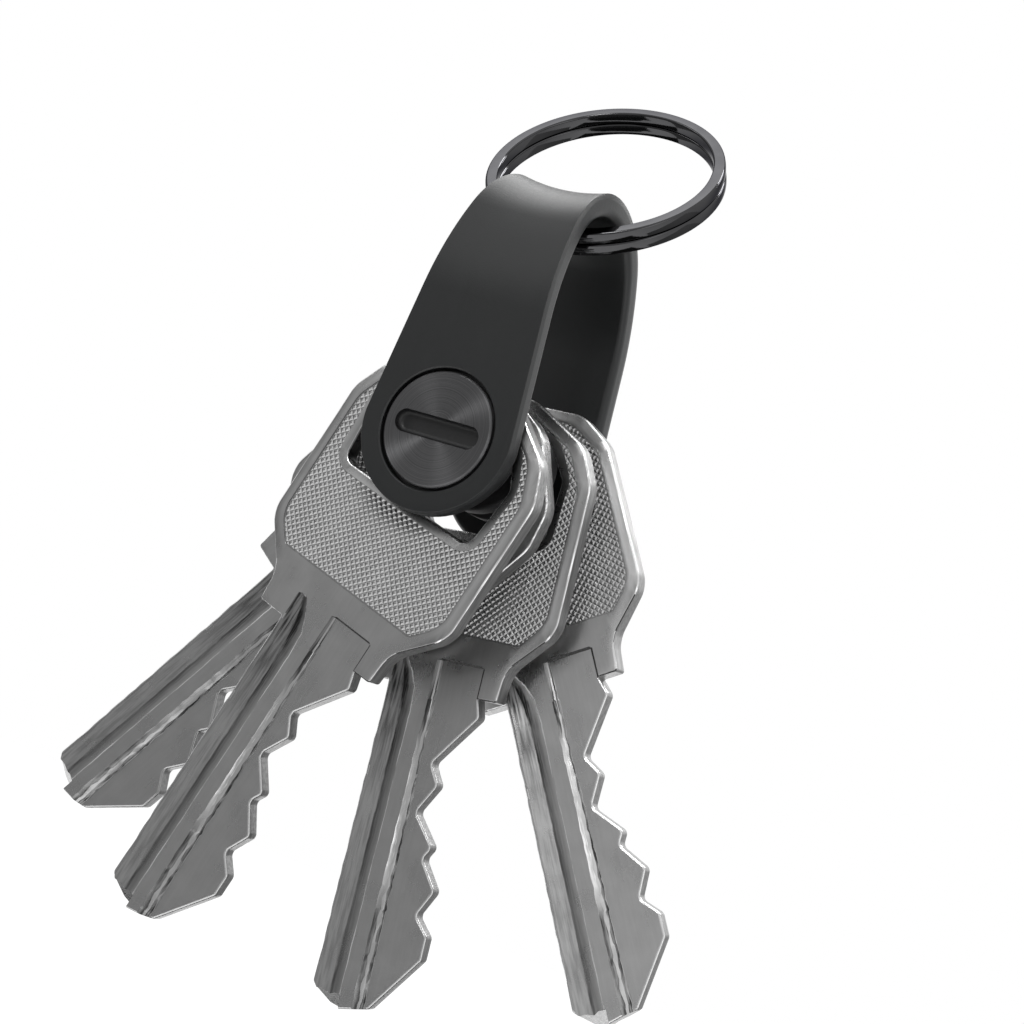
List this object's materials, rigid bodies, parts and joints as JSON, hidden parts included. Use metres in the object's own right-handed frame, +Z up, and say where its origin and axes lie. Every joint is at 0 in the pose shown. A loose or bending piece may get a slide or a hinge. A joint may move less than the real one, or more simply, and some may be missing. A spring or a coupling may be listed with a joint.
{
  "type": "key organiser",
  "caption": "Folded strap loop closed by a coin-slot screw and post that carries fanned keys with spacers, hung from a flat-wire split ring.",
  "frame": {"origin": "centre of the split ring's eye", "axes": "+Z up along the strap, -Y towards the screw's slotted head, +X to the right seen from the head"},
  "size_m": [0.0618, 0.0235, 0.0928],
  "materials": {
    "strap": "soft-touch satin, dark grey",
    "hardware": "black anodised, turned face",
    "spacer": "matt black",
    "key": "nickel, satin, knurled bow",
    "ring": "black nickel, polished"
  },
  "bodies": {
    "ring": {"split_ring": "ring"},
    "strap": {"strap": "strap", "barrel_post": "hardware", "spacer_1": "spacer", "spacer_2": "spacer", "spacer_3": "spacer"},
    "screw": {"front_screw": "hardware"},
    "key_1": {"key_1": "key"},
    "key_2": {"key_2": "key"},
    "key_3": {"key_3": "key"},
    "key_4": {"key_4": "key"}
  },
  "joints": [
    {"name": "strap_swing", "type": "hinge", "parent": "ring", "child": "strap", "pos_m": [0, -0.00702, -0.00867], "axis": [-1, 0, 0], "range_deg": [-74, 153]},
    {"name": "screw_turn", "type": "hinge", "parent": "strap", "child": "screw", "pos_m": [0, -0.00517, -0.03007], "axis": [0, -1, 0], "continuous": true},
    {"name": "key_1_pivot", "type": "hinge", "parent": "strap", "child": "key_1", "pos_m": [0, -0.00517, -0.03007], "axis": [0, -1, 0], "range_deg": [-86, 118]},
    {"name": "key_2_pivot", "type": "hinge", "parent": "strap", "child": "key_2", "pos_m": [0, -0.00517, -0.03007], "axis": [0, -1, 0], "range_deg": [-83, 151]},
    {"name": "key_3_pivot", "type": "hinge", "parent": "strap", "child": "key_3", "pos_m": [0, -0.00517, -0.03007], "axis": [0, -1, 0], "range_deg": [-123, 111]},
    {"name": "key_4_pivot", "type": "hinge", "parent": "strap", "child": "key_4", "pos_m": [0, -0.00517, -0.03007], "axis": [0, -1, 0], "range_deg": [-136, 68]}
  ]
}
